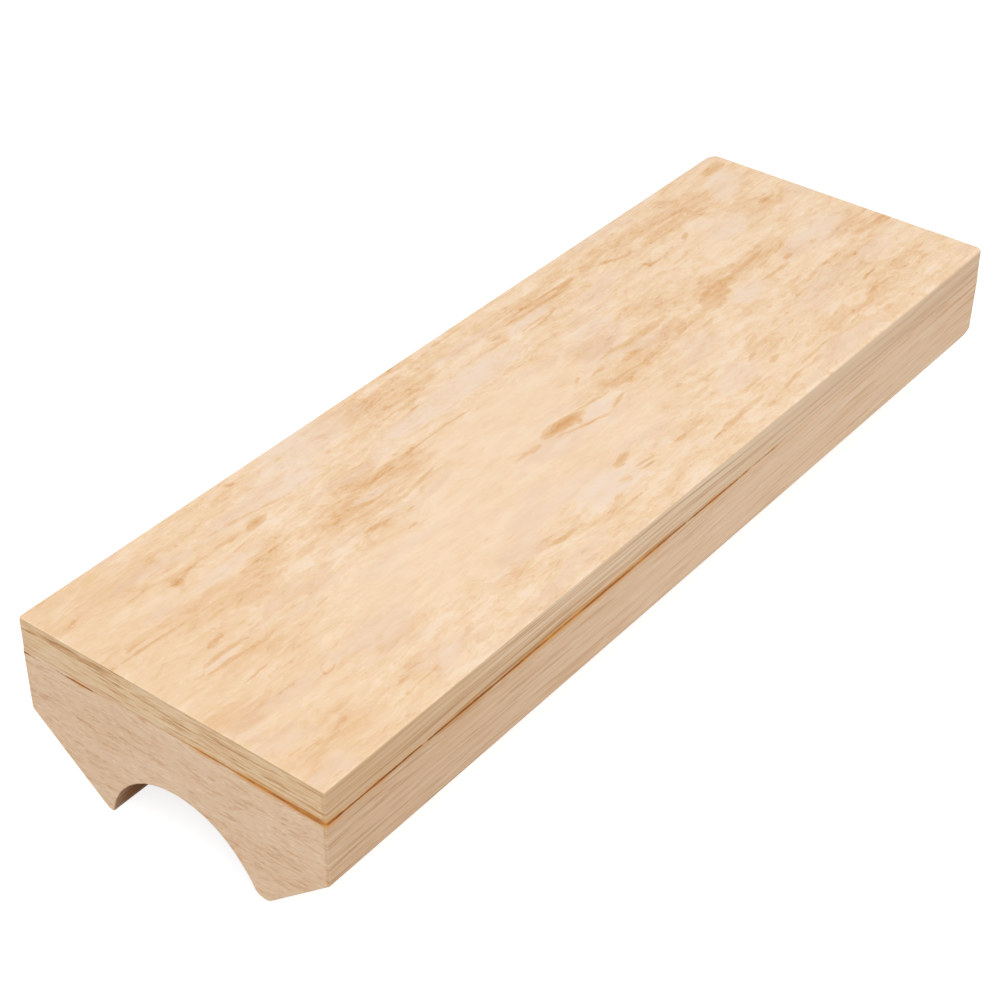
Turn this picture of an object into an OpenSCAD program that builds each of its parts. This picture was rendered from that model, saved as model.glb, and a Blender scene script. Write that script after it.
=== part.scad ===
// Bench strop: a pale stropping plate glued flat onto a hand-shaped wooden grip block.
// X runs along the length, Y across it and Z up. The origin is on the resting plane,
// below the middle of the block.

/* [Overall] */
// Length of the block
strop_length = 200; // [120:1:300]
// Width of the block across its upright sides
strop_width = 66; // [56:1:90]

/* [Layers] */
// Thickness of the stropping plate
plate_thickness = 6.4; // [3:0.1:12]
// How far the plate is trimmed back from the block on every side
plate_inset = 0.05; // [0:0.05:1]
// Thickness of the glue film between the plate and the block
glue_thickness = 0.4; // [0.2:0.05:0.8]
// Wood left between the glue film and the crown of the cove
crown_thickness = 13.2; // [10:0.1:24]

/* [Grip block] */
// Height of the upright sides, from the glue film down to the bevels
side_height = 12.8; // [6:0.1:16]
// Radius of the cove that runs under the block
cove_radius = 16.5; // [15:0.1:20]
// Depth of the cove above the resting plane
cove_depth = 13.1; // [10:0.1:14]
// Sideways place of the cove's axis, where plus is towards the back
cove_shift = -0.5; // [-2:0.1:2]

/* [Feet] */
// Width of the flat strip that each foot rests on
foot_flat = 0.7; // [0.4:0.1:3]
// Round from the front foot's flat into the cove
front_foot_round = 2.4; // [0.5:0.1:4]
// Round from the back foot's flat into the cove
back_foot_round = 0.5; // [0.3:0.1:4]

/* [Corners] */
// Round on three of the upright corner edges, which are left crisp
corner_round = 0.2; // [0.1:0.1:6]
// Round on the fourth upright edge, at the far end's back corner, which is sanded more
back_corner_round = 2.2; // [0.2:0.1:6]

/* [Hidden] */
$fn = 96;

block_wood = "#d8b893";
glue_brown = "#a8702c";
plate_cream = "#f3d8b6";

base_height = crown_thickness + cove_depth;
glue_top = base_height + glue_thickness;
bevel_top = base_height - side_height;
half_length = strop_length / 2;
half_width = strop_width / 2;

// The cove's axis lies this far below the resting plane
cove_drop = cove_radius - cove_depth;

// From the cove's axis sideways to the centre of a foot's round of radius r,
// which touches both the cove and the resting plane
function foot_reach(r) = sqrt(pow(cove_radius + r, 2) - pow(cove_drop + r, 2));

front_foot_edge = cove_shift - foot_reach(front_foot_round) - foot_flat;
back_foot_edge = cove_shift + foot_reach(back_foot_round) + foot_flat;

// How far a cut runs past the face that it starts from
cut_past = 1;

// Waste outside a corner's round, drawn from the round's centre
module corner_waste(r) {
    difference() {
        square(r + cut_past);
        circle(r);
    }
}

// Plan of the block, seen from above, drawn in by an inset
module plan_outline(inset) {
    x = half_length - inset;
    y = half_width - inset;
    corners = [
        [1, 1, 0, back_corner_round],
        [-1, 1, 90, corner_round],
        [-1, -1, 180, corner_round],
        [1, -1, 270, corner_round]
    ];
    difference() {
        square([2 * x, 2 * y], center = true);
        for (c = corners)
            translate([c[0] * (x - c[3]), c[1] * (y - c[3])])
                rotate(c[2])
                    corner_waste(c[3]);
    }
}

// Waste outside a foot's round, between the cove and the resting plane
module foot_waste(side, r) {
    centre = [side * foot_reach(r), r];
    translate([cove_shift, 0])
        difference() {
            polygon([centre, [0, -cove_drop], [centre[0], -cove_drop]]);
            translate(centre) circle(r);
        }
}

// Section of the block: upright sides, bevels down to two feet and the cove between them
module block_section() {
    difference() {
        polygon([
            [-half_width, base_height],
            [-half_width, bevel_top],
            [front_foot_edge, 0],
            [back_foot_edge, 0],
            [half_width, bevel_top],
            [half_width, base_height]
        ]);
        translate([cove_shift, -cove_drop]) circle(cove_radius);
        foot_waste(-1, front_foot_round);
        foot_waste(1, back_foot_round);
    }
}

// Grip block: one piece of wood, with its grain along X
module base_block() {
    color(block_wood)
        intersection() {
            translate([-half_length, 0, 0])
                rotate([90, 0, 90])
                    linear_extrude(strop_length) block_section();
            linear_extrude(base_height) plan_outline(0);
        }
}

// Hardened glue that fills the joint all over
module glue_film() {
    color(glue_brown)
        translate([0, 0, base_height])
            linear_extrude(glue_thickness) plan_outline(plate_inset);
}

// Flat plate that the blade is drawn along
module strop_plate() {
    color(plate_cream)
        translate([0, 0, glue_top])
            linear_extrude(plate_thickness) plan_outline(plate_inset);
}

base_block();
glue_film();
strop_plate();
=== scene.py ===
from math import atan2, cos, pi, radians, sin, sqrt, tan

import bmesh
import bpy
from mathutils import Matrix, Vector


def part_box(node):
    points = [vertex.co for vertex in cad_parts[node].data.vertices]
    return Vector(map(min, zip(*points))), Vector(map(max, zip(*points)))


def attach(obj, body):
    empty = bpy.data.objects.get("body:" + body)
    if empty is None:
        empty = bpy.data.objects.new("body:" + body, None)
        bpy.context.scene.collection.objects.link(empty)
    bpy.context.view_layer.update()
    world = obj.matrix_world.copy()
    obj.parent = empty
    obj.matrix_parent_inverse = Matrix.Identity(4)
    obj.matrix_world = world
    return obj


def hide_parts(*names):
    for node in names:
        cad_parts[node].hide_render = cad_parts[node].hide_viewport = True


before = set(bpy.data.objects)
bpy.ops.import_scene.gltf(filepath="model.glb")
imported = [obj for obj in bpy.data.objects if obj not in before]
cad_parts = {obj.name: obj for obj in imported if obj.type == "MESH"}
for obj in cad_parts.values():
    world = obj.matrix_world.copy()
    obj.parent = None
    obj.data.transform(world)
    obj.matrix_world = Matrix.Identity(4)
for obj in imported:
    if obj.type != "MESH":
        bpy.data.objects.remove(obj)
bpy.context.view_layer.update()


# Grip block: one piece of pale, straight-grained wood, planed square on top. The bevels and the
# cove below are cut along the whole length, which leaves two narrow feet, and every edge is
# eased with sandpaper. The block carries the plate and is what the hand holds.
mm = 0.001
block_low, block_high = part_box("base_block")
block_length = block_high[0] - block_low[0]
block_width = block_high[1] - block_low[1]
block_height = block_high[2]
side_height = 12.8 * mm
cove_radius = 16.5 * mm
cove_depth = 13.1 * mm
cove_shift = -0.5 * mm
cove_drop = cove_radius - cove_depth
foot_flat = 0.7 * mm
front_foot_round = 2.4 * mm
back_foot_round = 0.5 * mm
front_foot_steps = 8
back_foot_steps = 6
cove_steps = 40
foot_outer_round = 1.6 * mm
bevel_round = 1.2 * mm
top_arris = 0.05 * mm
corner_round = 0.2 * mm
back_corner_round = 2.2 * mm
end_arris = 0.2 * mm


def arc(centre, radius, start, end, steps):
    """Points on a circle from one angle to another, both ends included."""
    angles = [start + (end - start) * step / steps for step in range(steps + 1)]
    return [(centre[0] + radius * cos(a), centre[1] + radius * sin(a)) for a in angles]


def eased(before, corner, after, radius, steps=5):
    """The arc that rounds a corner of an outline."""
    into = atan2(corner[1] - before[1], corner[0] - before[0])
    out = atan2(after[1] - corner[1], after[0] - corner[0])
    turn = (out - into + pi) % (2 * pi) - pi
    reach = radius * tan(turn / 2)
    start = (corner[0] - reach * cos(into), corner[1] - reach * sin(into))
    centre = (start[0] - radius * sin(into), start[1] + radius * cos(into))
    return arc(centre, radius, into - pi / 2, into - pi / 2 + turn, steps)


def foot_reach(radius):
    """From the cove's axis sideways to the centre of a foot's round."""
    return sqrt((cove_radius + radius) ** 2 - (cove_drop + radius) ** 2)


def block_section():
    """Outline of the block seen along its length, as (y, z), from the front's top edge downwards."""
    half = block_width / 2
    bevel_top = block_height - side_height
    front = (cove_shift - foot_reach(front_foot_round), front_foot_round)
    back = (cove_shift + foot_reach(back_foot_round), back_foot_round)
    front_edge = (front[0] - foot_flat, 0)
    back_edge = (back[0] + foot_flat, 0)
    front_knee = (-half, bevel_top)
    back_knee = (half, bevel_top)
    front_top = (-half, block_height)
    back_top = (half, block_height)
    front_lean = atan2(cove_drop + front_foot_round, foot_reach(front_foot_round))
    back_lean = atan2(cove_drop + back_foot_round, foot_reach(back_foot_round))
    axis = (cove_shift, -cove_drop)
    return (
        eased(back_top, front_top, front_knee, top_arris)
        + eased(front_top, front_knee, front_edge, bevel_round)
        + eased(front_knee, front_edge, (front[0], 0), foot_outer_round)
        + arc(front, front_foot_round, -pi / 2, -front_lean, front_foot_steps)
        + arc(axis, cove_radius, pi - front_lean, back_lean, cove_steps)[1:-1]
        + arc(back, back_foot_round, pi + back_lean, 3 * pi / 2, back_foot_steps)
        + eased((back[0], 0), back_edge, back_knee, foot_outer_round)
        + eased(back_edge, back_knee, back_top, bevel_round)
        + eased(back_knee, back_top, front_top, top_arris)
    )


def paint(code):
    """A colour written as on a paint chart, such as f9dbbf, in the shader's linear values."""
    shares = [int(code[i:i + 2], 16) / 255 for i in (0, 2, 4)]
    linear = [s / 12.92 if s <= 0.04045 else ((s + 0.055) / 1.055) ** 2.4 for s in shares]
    return (*linear, 1.0)


class Wire:
    """An output of a node. A sum of wires and numbers adds Math nodes to the wire's tree."""

    def __init__(self, socket):
        self.socket = socket

    def node(self, kind, settings, inputs, output=0):
        """Adds a node, sets it up, feeds its inputs with values or wires, and gives one output."""
        tree = self.socket.id_data
        made = tree.nodes.new(kind)
        for name, value in settings.items():
            if name == "stops":
                for stop in value[2:]:
                    made.color_ramp.elements.new(stop[0])
                for element, (place, code) in zip(made.color_ramp.elements, sorted(value)):
                    element.position = place
                    element.color = paint(code)
            else:
                setattr(made, name, value)
        for key, value in inputs.items():
            if isinstance(value, Wire):
                tree.links.new(value.socket, made.inputs[key])
            else:
                made.inputs[key].default_value = value
        return Wire(made.outputs[output])

    def math(self, operation, *values):
        return self.node("ShaderNodeMath", {"operation": operation}, dict(enumerate(values)))

    def vector(self, operation, *values):
        return self.node("ShaderNodeVectorMath", {"operation": operation}, dict(enumerate(values)))

    def part(self, axis):
        return self.node("ShaderNodeSeparateXYZ", {}, {0: self}, "XYZ".index(axis))

    def __add__(self, other):
        return self.math("ADD", self, other)

    def __sub__(self, other):
        return self.math("SUBTRACT", self, other)

    def __rsub__(self, other):
        return self.math("SUBTRACT", other, self)

    def __mul__(self, other):
        return self.math("MULTIPLY", self, other)

    def __truediv__(self, other):
        return self.math("DIVIDE", self, other)

    def __pow__(self, other):
        return self.math("POWER", self, other)

    def __gt__(self, other):
        return self.math("GREATER_THAN", self, other)

    def __abs__(self):
        return self.math("ABSOLUTE", self)

    def least(self, other):
        return self.math("MINIMUM", self, other)

    def most(self, other):
        return self.math("MAXIMUM", self, other)

    def root(self):
        return self.math("SQRT", self.most(0.0))

    def cosine(self):
        return self.math("COSINE", self)

    def fraction(self):
        return self.math("FRACT", self)

    __radd__ = __add__
    __rmul__ = __mul__


def fade(value, low, high):
    """0 at low, 1 at high and smooth between them."""
    settings = {"interpolation_type": "SMOOTHSTEP", "clamp": False}
    inputs = {"Value": value, "From Min": low, "From Max": high}
    return value.node("ShaderNodeMapRange", settings, inputs)


# Depths below the top: the corners' extra wear fades out above the first, and the rounds of the
# edges end above the second
wear_depth = 1.6 * mm
top_strip = 2.0 * mm


def sanded_bar_tree():
    """Geometry nodes that draw an outline along the length, round the corners and ease the edges."""
    tree = bpy.data.node_groups.new("sanded bar", "GeometryNodeTree")
    tree.interface.new_socket("Outline", in_out="INPUT", socket_type="NodeSocketGeometry")
    for name in (
        "Length", "Width", "Top", "Corner Round", "Back Corner Round", "Top Corner Round",
        "End Arris", "Near Edge Round", "Far Edge Round",
    ):
        tree.interface.new_socket(name, in_out="INPUT", socket_type="NodeSocketFloat")
    tree.interface.new_socket("Stations", in_out="INPUT", socket_type="NodeSocketInt")
    tree.interface.new_socket("Material", in_out="INPUT", socket_type="NodeSocketMaterial")
    tree.interface.new_socket("Bar", in_out="OUTPUT", socket_type="NodeSocketGeometry")
    entry = tree.nodes.new("NodeGroupInput")
    given = {socket.name: Wire(socket) for socket in entry.outputs if socket.name}
    outline = given["Outline"]
    half_length = given["Length"] / 2
    half_width = given["Width"] / 2
    arris = given["End Arris"]

    def keep(geometry, name, kind, value):
        settings = {"data_type": kind, "domain": "POINT"}
        inputs = {"Geometry": geometry, "Name": name, "Value": value}
        return geometry.node("GeometryNodeStoreNamedAttribute", settings, inputs)

    def kept(name, kind):
        return outline.node("GeometryNodeInputNamedAttribute", {"data_type": kind}, {"Name": name})

    position = outline.node("GeometryNodeInputPosition", {}, {})
    section = outline.node("GeometryNodeMeshToCurve", {}, {"Mesh": outline})
    section = keep(section, "outline", "FLOAT_VECTOR", position)
    path = outline.node("GeometryNodeCurvePrimitiveLine", {}, {"End": (1, 0, 0)})
    path = path.node("GeometryNodeResampleCurve", {}, {"Curve": path, "Count": given["Stations"]})
    share = outline.node("GeometryNodeSplineParameter", {}, {}, "Factor")
    # Stations crowd together towards the ends, where the rounds are
    path = keep(path, "along", "FLOAT", half_length * (share * pi).cosine() * -1)
    drawn = {"Curve": path, "Profile Curve": section, "Fill Caps": True}
    bar = path.node("GeometryNodeCurveToMesh", {}, drawn)

    # The outline draws in towards the ends, which eases their edges
    along = kept("along", "FLOAT")
    from_end = (half_length - abs(along)).least(arris)
    pinch = arris - (arris * arris - (arris - from_end) ** 2).root()
    inward = kept("inward", "FLOAT_VECTOR")
    point = along.vector("MULTIPLY_ADD", inward, pinch, kept("outline", "FLOAT_VECTOR"))
    across = point.part("Y")
    from_side = half_width - abs(across)
    below_top = given["Top"] - point.part("Z")

    # The long top edges are sanded rounder towards the far end
    edge_round = given["Near Edge Round"]
    edge_round = edge_round + (given["Far Edge Round"] - edge_round) * fade(along, 0.0, half_length)
    in_reach = (edge_round - from_side).most(0.0)
    up_reach = (edge_round - below_top).most(0.0)
    spread = (in_reach * in_reach + up_reach * up_reach).root()
    taken = 1 - ((edge_round - pinch) / spread).least(1.0)
    from_side = from_side + in_reach * taken
    below_top = below_top + up_reach * taken

    # The upright corners are rounded in plan, and rounder at the very top
    at_back = (along > 0) * (across > 0)
    corner = given["Corner Round"] + (given["Back Corner Round"] - given["Corner Round"]) * at_back
    graded = given["Top Corner Round"] * fade(below_top, wear_depth, 0.0)
    corner = corner.most(graded * ((along > 0) + (across > 0)).least(1.0))
    past = (abs(along) - half_length + corner).most(0.0)
    cut = corner - (corner * corner - past * past).root()
    is_low = below_top > top_strip
    from_side = (from_side + cut) * (1 - is_low) + from_side.most(cut) * is_low
    side = (across > 0) * 2 - 1
    across = side * (half_width - from_side)
    height = given["Top"] - below_top
    placed = along.node("ShaderNodeCombineXYZ", {}, {"X": along, "Y": across, "Z": height})
    bar = bar.node("GeometryNodeSetPosition", {}, {"Geometry": bar, "Position": placed})
    bar = bar.node("GeometryNodeRealizeInstances", {}, {"Geometry": bar})
    bar = bar.node("GeometryNodeSetMaterial", {}, {"Geometry": bar, "Material": given["Material"]})
    leave = tree.nodes.new("NodeGroupOutput")
    tree.links.new(bar.socket, leave.inputs["Bar"])
    return tree


sanded_bar = sanded_bar_tree()
bar_stations = 181
weld_gap = 0.002 * mm
flat_weight = 100


def make_bar(name, outline, eased_below, sizes, material):
    """A plain mesh object made by the sanded bar nodes from an outline in y and z.

    Points of the outline below a height are drawn in at the ends, and the others stay square.
    """
    count = len(outline)
    mesh = bpy.data.meshes.new(name)
    mesh.from_pydata(
        [(0, y, z) for y, z in outline], [(i, (i + 1) % count) for i in range(count)], []
    )
    inward = mesh.attributes.new("inward", "FLOAT_VECTOR", "POINT")
    for i in range(count):
        before, after = outline[i - 1], outline[(i + 1) % count]
        run, rise = after[0] - before[0], after[1] - before[1]
        size = sqrt(run * run + rise * rise)
        if outline[i][1] < eased_below:
            inward.data[i].vector = (0, -rise / size, run / size)
    piece = bpy.data.objects.new(name, mesh)
    bpy.context.scene.collection.objects.link(piece)
    bar = piece.modifiers.new("bar", "NODES")
    bar.node_group = sanded_bar
    values = {**sizes, "Stations": bar_stations, "Material": material}
    for socket in sanded_bar.interface.items_tree:
        if socket.name in values:
            bar[socket.identifier] = values[socket.name]
    evaluated = piece.evaluated_get(bpy.context.evaluated_depsgraph_get())
    made = bpy.data.meshes.new_from_object(evaluated)
    piece.modifiers.clear()
    shape = bmesh.new()
    shape.from_mesh(made)
    bmesh.ops.remove_doubles(shape, verts=shape.verts, dist=weld_gap)
    bmesh.ops.recalc_face_normals(shape, faces=shape.faces)
    for face in shape.faces:
        face.smooth = True
    shape.to_mesh(made)
    shape.free()
    for helper in ("along", "inward", "outline"):
        if helper in made.attributes:
            made.attributes.remove(made.attributes[helper])
    piece.data = made
    made.name = name
    flats = piece.modifiers.new("flats stay flat", "WEIGHTED_NORMAL")
    flats.weight = flat_weight
    return piece


def start_material(name):
    """A new material, its surface shader and the place on the piece in millimetres."""
    material = bpy.data.materials.new(name)
    material.use_nodes = True
    tree = material.node_tree
    surface = tree.nodes["Principled BSDF"]
    spot = Wire(tree.nodes.new("ShaderNodeTexCoord").outputs["Object"])
    return material, surface, spot.vector("MULTIPLY", spot, (1 / mm, 1 / mm, 1 / mm))


seed_step = (7.3, 3.7, 5.1)


def cloud(place, cycles, detail, seed, roughness=0.55):
    """Cloudy noise round zero, with its cycles per millimetre along the length, width and height."""
    settings = {"noise_dimensions": "2D" if len(cycles) == 2 else "3D"}
    start = [seed * step for step in seed_step]
    stretched = place.vector("MULTIPLY_ADD", place, (*cycles, 0.0)[:3], start)
    inputs = {"Vector": stretched, "Scale": 1.0, "Detail": detail, "Roughness": roughness}
    return place.node("ShaderNodeTexNoise", settings, inputs) - 0.5


def tint(amount, under, over):
    """One colour laid over another by an amount from 0 to 1."""
    settings = {"data_type": "RGBA", "clamp_factor": True}
    # A Mix node's colours go into its inputs 6 and 7 and come out of its output 2
    return amount.node("ShaderNodeMix", settings, {0: amount, 6: under, 7: over}, 2)


def ramp(tone, stops):
    """The colour for a tone between 0 and 1, from a row of stops."""
    return tone.node("ShaderNodeValToRGB", {"stops": stops}, {0: tone})


def shifted(place, x=0.0, y=0.0, z=0.0):
    """The place moved by millimetres that vary."""
    aside = place.node("ShaderNodeCombineXYZ", {}, {"X": x, "Y": y, "Z": z})
    return place.vector("ADD", place, aside)


def marks(place, spots):
    """0 outside the spots, rising towards the middle of each one to its strength."""
    total = None
    for middle, half_sizes, turns, strength in spots:
        inside = place.node(
            "ShaderNodeMapping",
            {"vector_type": "TEXTURE"},
            {
                "Vector": place,
                "Location": middle,
                "Rotation": [radians(turn) for turn in turns],
                "Scale": [half * 2 for half in half_sizes],
            },
        )
        settings = {"gradient_type": "SPHERICAL"}
        mark = inside.node("ShaderNodeTexGradient", settings, {"Vector": inside}, "Fac") * strength
        total = mark if total is None else total.most(mark)
    return total


bare_wood_gloss = 0.3


def finish_surface(surface, colour, roughness, relief, depth):
    """Joins colour, roughness and a relief of a depth in millimetres to the surface shader."""
    tree = surface.id_data
    raised = {"Strength": 1.0, "Distance": depth * mm, "Height": relief}
    bump = relief.node("ShaderNodeBump", {}, raised)
    tree.links.new(colour.socket, surface.inputs["Base Color"])
    tree.links.new(roughness.socket, surface.inputs["Roughness"])
    tree.links.new(bump.socket, surface.inputs["Normal"])
    surface.inputs["Specular IOR Level"].default_value = bare_wood_gloss


# Places that the materials read, in millimetres: the two faces that show most, and the glue joint
near_end = -block_length / 2 / mm
front_side = -block_width / 2 / mm
joint_height = sum(corner[2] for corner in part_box("glue_film")) / 2 / mm


def on_near_end(place, strip=0.5):
    """1 on the near end's face, and 0 from a strip's width behind it."""
    return fade(place.part("X"), near_end + strip, near_end + 0.1)


def on_front_side(place):
    """1 on the front side, and 0 from a millimetre behind it."""
    return fade(place.part("Y"), front_side + 1.0, front_side + 0.2)


# Stretches of the joint where glue was squeezed out: middle along and across, half length each way
# and how much glue there is
squeezed_glue = [
    (-100, 21, 3, 7, 0.38), (-100, 33, 3, 4, 0.4), (-100, 5, 3, 6, 0.16), (-100, -9, 3, 9, 0.4),
    (-100, -27, 3, 9, 1.1), (-100, -30, 3, 5, 1.3), (-88, -33, 16, 3, 0.45), (-66, -33, 14, 3, 0.5),
    (-38, -33, 20, 3, 0.8), (-16, -33, 12, 3, 0.55), (4, -33, 12, 3, 0.45), (20, -33, 10, 3, 0.3),
    (100, 10, 3, 16, 0.6), (100, -20, 3, 8, 0.4), (-50, 33, 40, 3, 0.5), (50, 33, 30, 3, 0.6),
]
# They reach so far up and down that only the place along the joint counts
glue_reach = 40
glue_gold = "dea050"
glue_smear = "b46c2a"
glue_browns = [(0.0, "e4a650"), (1.0, "744418"), (0.3, "cc8838"), (0.6, "ae6624")]


def squeezed_out(place):
    """How much glue was squeezed out along the joint here, from 0 to about 1.3."""
    spots = [
        ((x, y, joint_height), (half_x, half_y, glue_reach), (0, 0, 0), much)
        for x, y, half_x, half_y, much in squeezed_glue
    ]
    return marks(place, spots) + cloud(place, (0.22, 0.22, 0.0), 4.0, 9, 0.65) * 0.45


def soak_glue(place, wood):
    """The wood's colour with glue in and beside the joint: a golden stain, a smear and a dark line."""
    much = squeezed_out(place)
    amount = fade(much, 0.06, 0.62)
    ragged = cloud(place, (0.35, 0.35, 0.8), 4.0, 8, 0.65)
    on_end = on_near_end(place, 0.6)
    # The line sinks towards the back corner of the near end, where it has darkened
    old_end = on_end * fade(place.part("Y"), -8.0, 28.0)
    wave = cloud(place, (0.09, 0.09, 0.0), 3.0, 3) * 0.3
    from_joint = abs(place.part("Z") + wave - on_end * 0.2 + old_end * 0.85 - joint_height + 0.1)
    stain = fade(from_joint + ragged * 0.8, amount * 1.4 + 0.1, 0.15) * amount
    wood = tint(stain * 0.7, wood, paint(glue_gold))
    smear = fade(much, 0.75, 1.15)
    smeared = fade(from_joint + ragged * 0.7, smear * 0.7, smear * 0.35) * smear
    wood = tint(smeared, wood, paint(glue_smear))
    shade = cloud(place, (0.07, 0.07, 0.5), 3.0, 2, 0.6)
    dark = shade * 1.4 + ragged * 1.2 + fade(from_joint, 0.25, 0.05) * 0.25
    dark = dark + 0.45 - on_end * 0.2 + old_end * 0.3
    line = fade(from_joint + ragged * 0.3, amount * 0.4 + 0.04, amount * 0.22)
    line = line * fade(amount, 0.08, 0.45)
    return tint(line, wood, ramp(dark, glue_browns))


block_tones = [(0.0, "fae0c5"), (1.0, "a4774e"), (0.4, "eac6a2"), (0.6, "ddb38b"), (0.8, "c6986d")]
block_warm = "e4b680"
# The grey laid on the front towards the near end
near_end_grey = "b8a28a"
# Painted shade: the brown that darkens the cove
cove_shade_brown = "8c5526"


def block_wood():
    material, surface, place = start_material("block wood")

    # The grain: broad zones, bands, dashes, dark strokes and pale pores, all along the length
    wander = cloud(place, (0.006, 0.02, 0.03), 2.0, 1) * 9.0
    lay = shifted(place, z=wander + place.part("Y") * 0.03)
    broad = cloud(lay, (0.006, 0.03, 0.12), 2.0, 2)
    bands = cloud(lay, (0.012, 0.07, 0.8), 4.0, 3, 0.6)
    dashes = cloud(lay, (0.09, 0.34, 2.3), 5.0, 4, 0.7)
    strokes = fade(cloud(lay, (0.05, 0.24, 2.0), 4.0, 5, 0.65), 0.04, 0.11)
    pores = fade(cloud(lay, (0.09, 0.4, 2.3), 3.0, 7, 0.65), 0.08, 0.15)
    on_front = on_front_side(place)
    on_end = on_near_end(place)
    fine = cloud(lay, (0.15, 0.6, 4.0), 3.0, 10, 0.7) * on_end
    crisp = 1.15 - on_front * 0.1 - on_end * 0.1
    tone = broad * 0.35 + bands * 0.35 + 0.325
    tone = tone + (dashes * 0.55 + strokes * 0.19 - pores * 0.18) * crisp

    # The front is darker and greyer towards the near end, and darker close under the joint
    graded = on_front * fade(place.part("X"), 20.0, -110.0)
    tone = tone + fine * 0.75 + graded * 0.17
    tone = tone + on_front * fade(place.part("Z"), joint_height - 4.0, joint_height - 0.5) * 0.06
    colour = ramp(tone, block_tones)
    warm = cloud(lay, (0.02, 0.06, 0.3), 3.0, 6)
    colour = tint(fade(warm, 0.05, 0.3) * 0.35, colour, paint(block_warm))
    colour = tint(graded * 0.18, colour, paint(near_end_grey))
    colour = soak_glue(place, colour)

    # Painted shade: the cove is painted brown as it looks in shade, all along it, deepest a few
    # millimetres in from each end and a little lighter at the very ends. The cove is also made rougher.
    across = place.part("Y") - cove_shift / mm
    from_axis = (across ** 2 + (place.part("Z") + cove_drop / mm) ** 2).root()
    cove_shaded = fade(from_axis, cove_radius / mm + 0.25, cove_radius / mm + 0.05)
    from_middle = abs(place.part("X"))
    cove_shade_along = fade(from_middle + bands * 20.0, 78.0, 93.0) - fade(from_middle, 96.5, 100.0) * 0.6
    colour = tint(cove_shaded * (cove_shade_along * 0.52 + bands * 0.6 + 0.38), colour, paint(cove_shade_brown))
    roughness = dashes * 0.25 + cove_shaded * 0.35 + 0.62
    finish_surface(surface, colour, roughness, dashes - strokes * 0.3, 0.05)
    return material


foot_lift = 1.35 * mm
foot_lift_run = 4.0 * mm
foot_lift_height = 6.0 * mm
knee_reach = 4.0 * mm
knee_depth = 0.55 * mm
knee_push = Vector((-0.6, 0.4, 0.6))
# The rim that the plate lies on stays square
rim = 0.1 * mm

block = make_bar(
    "base_block_wood",
    outline=block_section(),
    eased_below=block_height - rim,
    sizes={
        "Length": block_length,
        "Width": block_width,
        "Top": block_height,
        "Corner Round": corner_round,
        "Back Corner Round": back_corner_round,
        "End Arris": end_arris,
    },
    material=block_wood(),
)
# The front foot's ends are sanded up a little
for vertex in block.data.vertices:
    from_end = block_length / 2 - abs(vertex.co.x)
    if vertex.co.y < -cove_radius / 2 and from_end < foot_lift_run and vertex.co.z < foot_lift_height:
        share = (1 - from_end / foot_lift_run) ** 2 * (1 - vertex.co.z / foot_lift_height)
        vertex.co.z += foot_lift * share
# The edge above the front bevel is sanded back at its far end
knee = Vector((block_length / 2, -block_width / 2, block_height - side_height))
for vertex in block.data.vertices:
    near_knee = 1 - (vertex.co - knee).length / knee_reach
    if near_knee > 0:
        vertex.co += knee_push * knee_depth * near_knee ** 2
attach(block, "root")
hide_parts("base_block")


# Glue film: brown wood glue, squeezed thin between the block and the plate and sanded flush when
# hard. It shows as an uneven line round the joint, dark where it is thick and almost gone elsewhere.
film_low, film_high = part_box("glue_film")
film_arris = 0.02 * mm
starved_joint = [(0.0, "e8c9a6"), (1.0, "cfa984")]


def slab_section(low, high, arris):
    """Outline of a flat piece seen along its length, as (y, z), from the front's top edge downwards."""
    front_top, front_bottom = (low[1], high[2]), (low[1], low[2])
    back_bottom, back_top = (high[1], low[2]), (high[1], high[2])
    return (
        eased(back_top, front_top, front_bottom, arris)
        + eased(front_top, front_bottom, back_bottom, arris)
        + eased(front_bottom, back_bottom, back_top, arris)
        + eased(back_bottom, back_top, front_top, arris)
    )


def hard_glue():
    material, surface, place = start_material("hard glue")
    streaks = cloud(place, (0.35, 0.35, 1.8), 4.0, 1, 0.65)
    colour = soak_glue(place, ramp(streaks + 0.5, starved_joint))
    finish_surface(surface, colour, 0.5 + streaks * 0.3, streaks, 0.03)
    return material


glue = make_bar(
    "glue_film_line",
    outline=slab_section(film_low, film_high, film_arris),
    eased_below=film_high[2],
    sizes={
        "Length": film_high[0] - film_low[0],
        "Width": film_high[1] - film_low[1],
        "Top": film_high[2],
        "Corner Round": corner_round,
        "Back Corner Round": back_corner_round,
        "End Arris": film_arris,
    },
    material=hard_glue(),
)
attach(glue, "root")
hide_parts("glue_film")


# Stropping plate: a flat board of pale, soft, mottled wood, cut so that its growth layers lie
# nearly flat. They show as fine lines round its edge, and as streaks and stains on its face.
plate_low, plate_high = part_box("strop_plate")
plate_bottom_arris = 0.05 * mm
plate_end_arris = 0.3 * mm
near_edge_round = 0.25 * mm
far_edge_round = 0.85 * mm
top_corner_round = 0.5 * mm
face_height = plate_high[2] / mm
face_depth = 4.0

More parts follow.
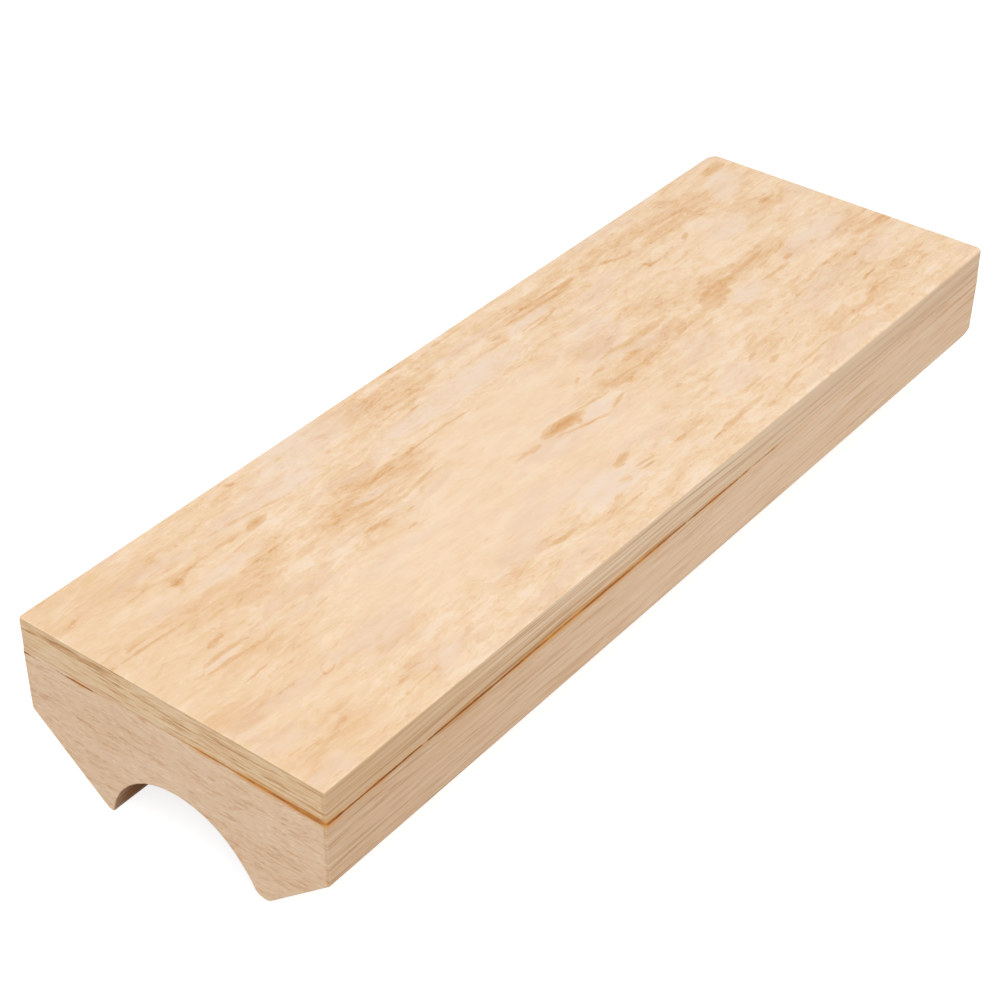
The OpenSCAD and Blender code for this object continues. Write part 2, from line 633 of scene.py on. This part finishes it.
# Marks on the face: place along and across from the middle, half length and half width, all in
# millimetres, then the turn in degrees and the strength
stains = [
    (-86, 0.5, 5, 0.55, 0, 0.7), (-87, -1.5, 4, 0.45, -5, 0.6), (-85, 3.6, 2.4, 0.8, 5, 0.5),
    (-78, 19, 1.3, 1.0, 50, 0.7), (-73.5, 19.8, 2.8, 0.6, 5, 0.5), (-65, 20, 3.6, 0.6, 3, 0.6),
    (-58, 19.8, 2.1, 0.75, 8, 1.2), (-58, 22.6, 9, 0.4, -8, 0.6), (-53, 31, 0.9, 0.6, 0, 0.7),
    (-42, 29.3, 1.2, 0.7, 15, 0.6), (-92, 11.2, 8, 0.4, -3, 0.6), (-94, 12.7, 5, 0.35, 0, 0.5),
    (-48, 3.4, 4, 0.7, 0, 0.5), (-33, 5.4, 8, 0.5, 9, 0.6), (-38, 12.2, 5, 1.0, -6, 0.5),
    (-1.8, -3.8, 3.4, 1.0, -6, 1.7), (0.4, -7, 4.2, 0.28, -14, 1.0), (6.9, -3.5, 3.2, 0.26, -6, 1.0),
    (10, -6.9, 2, 0.45, 14, 1.1), (-11.5, -4.5, 1.6, 0.5, 10, 0.8), (-4.9, -3.2, 2.6, 0.8, 6, 1.3),
    (0.6, -5.2, 1.3, 0.5, 30, 1.0), (51.5, -0.4, 4.6, 1.9, 14, 1.1), (64, 1.4, 9, 0.8, 4, 0.6),
    (29, 3, 8.5, 0.7, -3, 0.9), (10.6, 2.8, 1.3, 0.4, 20, 0.6), (15, 1.5, 2.6, 0.4, 0, 0.6),
    (-29, -23.8, 3.2, 0.55, -3, 0.7), (-40, -23.6, 3.8, 0.9, 0, 0.5), (-53, -23.4, 4, 0.6, 4, 0.4),
    (-5, -18.4, 2.2, 0.8, 12, 0.8), (-9.5, -22, 1.6, 0.6, -20, 0.8), (-14, -24.5, 1.3, 0.5, 0, 0.6),
    (-15, -27, 6, 0.35, 0, 0.5), (20, -27.3, 6.5, 0.6, 3, 0.8), (35.5, -28.5, 3, 0.4, 5, 0.7),
    (45, -26.7, 6, 0.35, 2, 0.6), (61, -26.5, 3.2, 0.4, 3, 0.5), (39.6, -22, 1.7, 0.5, 10, 0.7),
    (29.5, -23.5, 4, 0.45, 3, 0.6), (38, -18, 2.2, 0.5, 15, 0.7), (94.5, -10.4, 5.8, 0.9, -10, 0.8),
    (94, 28.5, 3.4, 1.2, 5, 0.8), (91, 12.6, 4, 0.6, -8, 0.6), (66.8, 17.3, 1.3, 0.5, 25, 1.1),
    (35, 24.7, 3.6, 0.7, 4, 0.7), (28, 26, 10, 0.6, 0, 0.5), (22, 21.4, 6, 0.4, 5, 0.6),
    (49, 23.4, 3.6, 0.6, -20, 0.6), (54, 22, 3.6, 0.6, -5, 0.6), (73.5, -3.6, 2, 0.7, 10, 0.6),
    (66, -5, 7, 0.5, -2, 0.5), (81, -4.5, 1.5, 0.6, 15, 0.6), (78, -20, 3, 0.35, 5, 0.7),
    (75, -24, 9, 0.6, -1, 0.5), (48, -21, 2.5, 0.25, 15, 0.6), (-72, -28.4, 6, 0.4, 4, 0.5),
    (-71, -25, 5, 0.4, 0, 0.4), (-84, -31, 3, 0.5, 10, 0.4), (-96, -32, 4.5, 0.4, 0, 0.4),
    (-88, -25, 5, 0.7, 0, 0.3), (-86, -13, 3, 0.4, 0, 0.5), (-87, -6.8, 5, 0.35, 5, 0.5),
    (-66, -3, 4, 0.45, 3, 0.4), (-14, -4.2, 4, 0.5, 0, 0.6), (-17, 12.8, 10, 0.3, -1, 0.7),
    (-32, 24, 4, 0.4, 0, 0.5), (-14, 20.5, 6, 0.4, 0, 0.5), (-42, -1.6, 1.4, 0.4, 0, 0.6),
    (42, -14, 2, 0.5, 10, 0.5), (21, -13, 1.6, 0.5, 0, 0.6), (8, 31.5, 8, 0.5, 0, 0.5),
    (79, -11, 1.6, 0.5, 10, 0.5), (73, 24, 10, 0.7, -4, 0.5), (-2.9, -21.8, 1.9, 0.24, -8, 1.2),
    (-2.9, -22.9, 1.7, 0.24, -8, 1.2),
]
tan_zones = [
    (-44, 9, 14, 5, 4, 1.0), (-34, 9, 9, 5, 10, 0.9), (-72, 11, 18, 4.5, -2, 0.8),
    (-88, 28, 16, 6, 0, 0.7), (-18, 28, 18, 5, -2, 0.8), (-17, 15.5, 6, 1.8, 0, 0.7),
    (30, 25, 16, 4, 0, 0.9), (73, 23.5, 18, 4, -4, 1.0), (54, 24, 9, 3.5, 0, 0.8),
    (21, 6.5, 6, 3.5, -20, 0.8), (28, -2, 20, 4, -3, 0.7), (62, 1.5, 15, 3, 3, 0.9),
    (-96, -11, 7, 4, 0, 0.7), (76, -14, 16, 6, 0, 0.6), (88, 16, 14, 6, 0, 0.6),
    (-85, -2, 14, 5, 0, 0.6), (-70, 19, 14, 3, 0, 0.5), (92, -6, 12, 6, 0, 0.6),
    (70, -25, 20, 4, 0, 0.6), (-88, -27, 14, 5, 0, 0.6), (36, 8, 8, 3, -10, 0.8),
    (42, -19.5, 7, 3, 5, 0.5), (12, -24.5, 8, 3, 0, 0.6), (-86, 6, 8, 3, 0, 0.5),
]
pale_zones = [
    (-36, 29, 9, 3.5, 0, 0.9), (-45, 23, 8, 3, 0, 0.6), (5.4, -5.7, 2.8, 1.1, -5, 1.8),
    (30, -20.5, 5, 2.2, 0, 0.9), (-17, 17.8, 8, 1.8, 0, 0.8), (0, 18.5, 12, 3, 0, 0.8),
    (22, 22.6, 6, 1.2, 0, 0.9), (90, 23, 7, 3.5, 30, 0.7), (-8, -7.2, 3, 1.2, 0, 0.6),
    (75, 12, 9, 3.5, 0, 0.6), (57, -5, 5, 2.2, 0, 0.8), (88, -3, 7, 2.4, 0, 0.7),
    (-38, 9.4, 5, 0.6, -6, 1.0), (-2.9, -22.3, 0.9, 0.25, -8, 1.6), (-87, -0.5, 3.4, 0.5, 0, 0.9),
    (-12, -21.5, 9, 3.5, 0, 0.7), (-70, 15, 8, 1.6, 0, 0.7), (27, 11.2, 5, 2, 0, 0.8),
]
calm_zones = [
    (-8, 5, 20, 6, 0, 1.0), (-30, -10, 30, 9, 0, 0.9), (0, -13, 18, 4, 0, 0.7),
]
rings = [
    (-78.5, -14.5, 1.7, 0.9, 20, 0.9), (57, 17.4, 5, 1.5, 0, 0.8), (22, 21.8, 6, 1.6, 4, 0.9),
]

# Lines on the edge: place, with the height above the joint, half sizes, turns and strength
edge_lines = [
    ((-100, 19, 5.2), (3, 9, 0.45), (0, 0, 0), 1.0), ((-100, 28, 4.7), (3, 7, 0.3), (-4, 0, 0), 0.7),
    ((-100, 2, 3.7), (3, 12, 0.3), (3, 0, 0), 0.6), ((-100, -18, 4.4), (3, 12, 0.25), (-3, 0, 0), 0.6),
    ((-100, -9, 2.4), (3, 18, 0.35), (-1, 0, 0), 0.5), ((-46, -33, 0.8), (9, 3, 0.28), (0, -3, 0), 1.0),
    ((-30, -33, 1.6), (10, 3, 0.25), (0, -3, 0), 1.0), ((-12, -33, 2.3), (12, 3, 0.25), (0, -2, 0), 0.8),
    ((-60, -33, 4.5), (16, 3, 0.2), (0, -1, 0), 0.5), ((80, -33, 2.1), (22, 3, 0.3), (0, 0, 0), 0.9),
    ((-74, -33, 2.5), (28, 3, 0.4), (0, 0, 0), 0.48), ((-36, -33, 2.1), (14, 3, 0.35), (0, 1, 0), 0.9),
    ((-50, -33, 0.5), (18, 3, 0.35), (0, 0, 0), 0.8), ((-8, -33, 0.5), (12, 3, 0.3), (0, 0, 0), 0.7),
    ((86, -33, 1.7), (14, 3, 0.4), (0, 0, 0), 0.8), ((86, -33, 0.4), (16, 3, 0.25), (0, 0, 0), 0.8),
    ((70, -33, 4.3), (14, 3, 0.2), (0, 1, 0), 0.6),
]
pale_lines = [((-36, -33, 4.2), (44, 3, 0.6), (0, 0, 0), 1.0)]
edge_tones = [(0.0, "f8e4c6"), (1.0, "8f6230"), (0.35, "ebc89d"), (0.55, "dcb184"), (0.75, "c4925c")]
# Pale pinkish grey laid on the plate's front edge
edge_pale = "e0c3aa"
edge_grey = "b8a48c"
face_tones = [
    (0.0, "fbe9d5"), (1.0, "cc8e4e"), (0.3, "fadebe"), (0.5, "f2cea7"), (0.7, "e8bc8e"), (0.85, "dfa971"),
]
face_gold = "eccb92"
face_pink = "eccdb8"


def face_marks(place, zones):
    """Marks on the face only, which reach a few millimetres into the plate."""
    spots = [
        ((x, y, face_height), (half_x, half_y, face_depth), (0, 0, turn), much)
        for x, y, half_x, half_y, turn, much in zones
    ]
    return marks(place, spots)


def edge_marks(place, lines):
    """Lines on the edge only."""
    spots = [((x, y, joint_height + up), sizes, turns, much) for (x, y, up), sizes, turns, much in lines]
    return marks(place, spots)


def plate_wood():
    material, surface, place = start_material("plate wood")

    # The edge: growth lines, nearly level, broken up along their length
    wander = cloud(place, (0.011, 0.02, 0.04), 3.0, 1) * 3.4
    lay = shifted(place, z=wander)
    lines = cloud(lay, (0.016, 0.09, 2.0), 4.0, 2, 0.65)
    hairs = cloud(lay, (0.08, 0.3, 2.8), 4.0, 3, 0.65)
    followed = shifted(place, z=wander * 0.3)
    drawn = fade(edge_marks(followed, edge_lines) + hairs * 0.8, 0.2, 0.6)
    light = fade(edge_marks(followed, pale_lines) + hairs * 0.8, 0.2, 0.7)
    along = place.part("X")
    far = fade(along, -10.0, 60.0)
    on_front = on_front_side(place)
    on_end = on_near_end(place)
    contrast = on_front * (fade(along, -80.0, -40.0) * 0.9 - far * 0.6 - 0.35) + 1.15
    edge_tone = (lines * 0.5 + fade(lines, 0.0, 0.14) * 0.2 + hairs * 0.65) * contrast
    edge_tone = edge_tone + drawn * 0.32 - light * 0.18 + 0.3
    edge_tone = edge_tone + on_front * fade(along, -20.0, -90.0) * 0.21
    top_band = fade(place.part("Z"), face_height - 1.8, face_height - 0.8)
    edge_tone = edge_tone - on_front * top_band * 0.08
    edge_tone = edge_tone + on_end * fade(place.part("Y"), 5.0, -15.0) * 0.04
    edge = ramp(edge_tone, edge_tones)
    # The front edge is tinted a pale pinkish grey, more towards the far end, and greyer towards the near
    # end
    front_pale = on_front * (fade(along, -90.0, -20.0) * 0.2 + far * 0.1 + 0.15)
    edge = tint(front_pale, edge, paint(edge_pale))
    edge = tint(on_front * fade(along, -30.0, -90.0) * 0.15, edge, paint(edge_grey))
    edge = soak_glue(place, edge)

    # The face: cream, with tan clouds, pale patches, fine streaks and thin broken veins
    sway = cloud(place, (0.12, 0.35), 3.0, 5)
    push = cloud(place, (0.12, 0.3), 3.0, 6)
    ragged = shifted(place, x=push * 1.6, y=sway)
    grain = shifted(place, x=push * 4.0, y=sway * 1.8 + cloud(place, (0.015, 0.04), 2.0, 4) * 6.0)
    patches = cloud(grain, (0.05, 0.17), 6.0, 8, 0.6)
    blots = cloud(grain, (0.1, 0.32), 6.0, 14, 0.62)
    flecks = cloud(grain, (0.22, 0.62), 5.0, 9, 0.65)
    threads = cloud(grain, (0.05, 1.0), 4.0, 11, 0.65)
    specks = fade(cloud(grain, (0.5, 1.4), 3.0, 13, 0.6), 0.08, 0.18)
    calm = fade(face_marks(ragged, calm_zones), 0.1, 0.6)
    vein = fade(abs(patches - 0.05), 0.02, 0.0) * fade(flecks, -0.08, 0.12)
    wisp = fade(flecks, 0.1, 0.2) * fade(patches, -0.12, 0.12)
    scored = fade(threads, 0.06, 0.13) - fade(threads, -0.08, -0.16)
    mottle = patches * 0.3 + flecks * 0.22 + scored * 0.07
    mottle = mottle + vein * 0.15 + wisp * 0.13 + specks * 0.08
    mottle = mottle + fade(blots, 0.05, 0.12) * 0.11 - fade(blots, -0.06, -0.11) * 0.12
    mottle = mottle + ((patches * 6.0 + flecks * 1.2).fraction() ** 3 - 0.25) * 0.12
    near = fade(along, -50.0, -90.0)
    strength = (1 - calm * 0.6) * (1 - near * 0.42 - far * 0.1)
    tone = mottle * strength - calm * 0.03 + near * 0.055 + 0.38
    tanned = fade(face_marks(ragged, tan_zones) + patches * 0.8 + flecks * 0.4, 0.25, 0.7)
    tone = tone + tanned * (scored * 0.05 + 0.17) * (1 - near * 0.35)
    paled = fade(face_marks(ragged, pale_zones) + flecks * 0.5, 0.25, 0.5)
    tone = tone - paled * 0.18
    ringed = face_marks(ragged, rings) + flecks * 0.5
    tone = tone + fade(abs(ringed - 0.45), 0.1, 0.02) * fade(blots, -0.12, 0.08) * 0.22
    stained = face_marks(ragged, stains) + flecks * 0.7
    stain = fade(stained, 0.26, 0.42)
    tone = tone + stain * (stained.least(1.4) * 0.26 + 0.19 - tone * 0.25)
    face = ramp(tone, face_tones)
    golden = fade(cloud(grain, (0.28, 0.7), 4.0, 15, 0.6), 0.04, 0.16) * (1 - calm)
    face = tint(golden * 0.35, face, paint(face_gold))
    pink = fade(cloud(grain, (0.035, 0.12), 5.0, 12, 0.6), 0.02, 0.16).most(paled)
    face = tint(pink * (1 - stain) * 0.35, face, paint(face_pink))

    on_face = fade(place.part("Z"), face_height - 0.25 - far * 0.8, face_height - 0.08 - far * 0.25)
    colour = tint(on_face, edge, face)
    relief = hairs + (flecks - hairs) * on_face
    finish_surface(surface, colour, 0.64 + flecks * 0.2, relief, 0.05)
    return material


# Points beside a top edge, as shares of the strip that is rounded, close together near the edge
edge_shares = (0.05, 0.11, 0.18, 0.26, 0.35, 0.46, 0.6, 0.75, 0.95)


def plate_section():
    """Outline of the plate, as (y, z), with points for the rounds of its top edges."""
    front, back, top = plate_low[1], plate_high[1], plate_high[2]
    steps = [share * top_strip for share in edge_shares]
    over = [(front + step, top) for step in reversed(steps)]
    over = over + [(front, top)] + [(front, top - step) for step in steps]
    bottom = (front, plate_low[2]), (back, plate_low[2])
    under = (
        eased(over[-1], bottom[0], bottom[1], plate_bottom_arris)
        + eased(bottom[0], bottom[1], (back, top), plate_bottom_arris)
    )
    return over + under + [(-y, z) for y, z in reversed(over)]


plate = make_bar(
    "strop_plate_wood",
    outline=plate_section(),
    eased_below=0.0,
    sizes={
        "Length": plate_high[0] - plate_low[0],
        "Width": plate_high[1] - plate_low[1],
        "Top": plate_high[2],
        "Corner Round": corner_round,
        "Back Corner Round": back_corner_round,
        "Top Corner Round": top_corner_round,
        "End Arris": plate_end_arris,
        "Near Edge Round": near_edge_round,
        "Far Edge Round": far_edge_round,
    },
    material=plate_wood(),
)
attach(plate, "root")
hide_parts("strop_plate")


# Studio: a white floor and a pale sky, with one large soft lamp high up behind the camera, which
# looks down on the block's near corner.
def seen_directly(wire):
    """1 where the camera, a reflection or clear glass looks, and 0 for other light."""
    path = wire.socket.id_data.nodes.new("ShaderNodeLightPath")
    seen = Wire(path.outputs["Is Camera Ray"])
    for name in ("Is Glossy Ray", "Is Transmission Ray"):
        seen = seen.most(Wire(path.outputs[name]))
    return seen


# The floor's grey sets how much light it throws back, and the lift makes it look white
floor_half = 3.0
floor_grey = 0.46
floor_lift = 0.77
floor_mesh = bpy.data.meshes.new("floor")
floor_mesh.from_pydata(
    [(x * floor_half, y * floor_half, 0.0) for x, y in ((-1, -1), (1, -1), (1, 1), (-1, 1))],
    [],
    [(0, 1, 2, 3)],
)
floor = bpy.data.objects.new("floor", floor_mesh)
bpy.context.scene.collection.objects.link(floor)
floor_paint = bpy.data.materials.new("floor paint")
floor_paint.use_nodes = True
floor_tree = floor_paint.node_tree
floor_surface = floor_tree.nodes["Principled BSDF"]
floor_surface.inputs["Base Color"].default_value = (floor_grey, floor_grey, floor_grey, 1.0)
floor_surface.inputs["Roughness"].default_value = 1.0
floor_surface.inputs["Specular IOR Level"].default_value = 0.0
floor_glow = floor_tree.nodes.new("ShaderNodeEmission")
floor_sum = floor_tree.nodes.new("ShaderNodeAddShader")
floor_seen = seen_directly(Wire(floor_surface.outputs[0]))
floor_level = floor_seen * floor_lift
floor_level = floor_level.node("ShaderNodeCombineColor", {}, dict.fromkeys(range(3), floor_level))
floor_tree.links.new(floor_level.socket, floor_glow.inputs["Color"])
floor_tree.links.new(floor_surface.outputs[0], floor_sum.inputs[0])
floor_tree.links.new(floor_glow.outputs[0], floor_sum.inputs[1])
floor_tree.links.new(floor_sum.outputs[0], floor_tree.nodes["Material Output"].inputs["Surface"])
floor_mesh.materials.append(floor_paint)

# The sky lights the block by its grey, and looks white
sky_grey = 0.68
world = bpy.data.worlds.new("studio")
world.use_nodes = True
bpy.context.scene.world = world
sky = world.node_tree.nodes["Background"]
sky_seen = seen_directly(Wire(sky.outputs[0]))
sky_level = sky_seen * (1.0 - sky_grey) + sky_grey
sky_level = sky_level.node("ShaderNodeCombineColor", {}, dict.fromkeys(range(3), sky_level))
world.node_tree.links.new(sky_level.socket, sky.inputs["Color"])

lamp = bpy.data.lights.new("soft box", "AREA")
lamp.shape = "DISK"
lamp.size = 1.2
lamp.energy = 13.0
soft_box = bpy.data.objects.new("soft box", lamp)
soft_box.location = (-0.85, -0.85, 1.19)
soft_box.rotation_euler = (-soft_box.location).to_track_quat("-Z", "Y").to_euler()
bpy.context.scene.collection.objects.link(soft_box)

# The camera's place and lens follow from the block's edges in the photo
photo_pixels = 1001
focal_pixels = 2254
camera_data = bpy.data.cameras.new("camera")
camera_data.sensor_width = 36.0
camera_data.lens = camera_data.sensor_width * focal_pixels / photo_pixels
camera = bpy.data.objects.new("camera", camera_data)
camera.location = (-0.27214, -0.20153, 0.26466)
camera.rotation_euler = (radians(53.36), radians(0.105), radians(-51.88))
bpy.context.scene.collection.objects.link(camera)
bpy.context.scene.camera = camera
bpy.context.scene.view_settings.view_transform = "Standard"
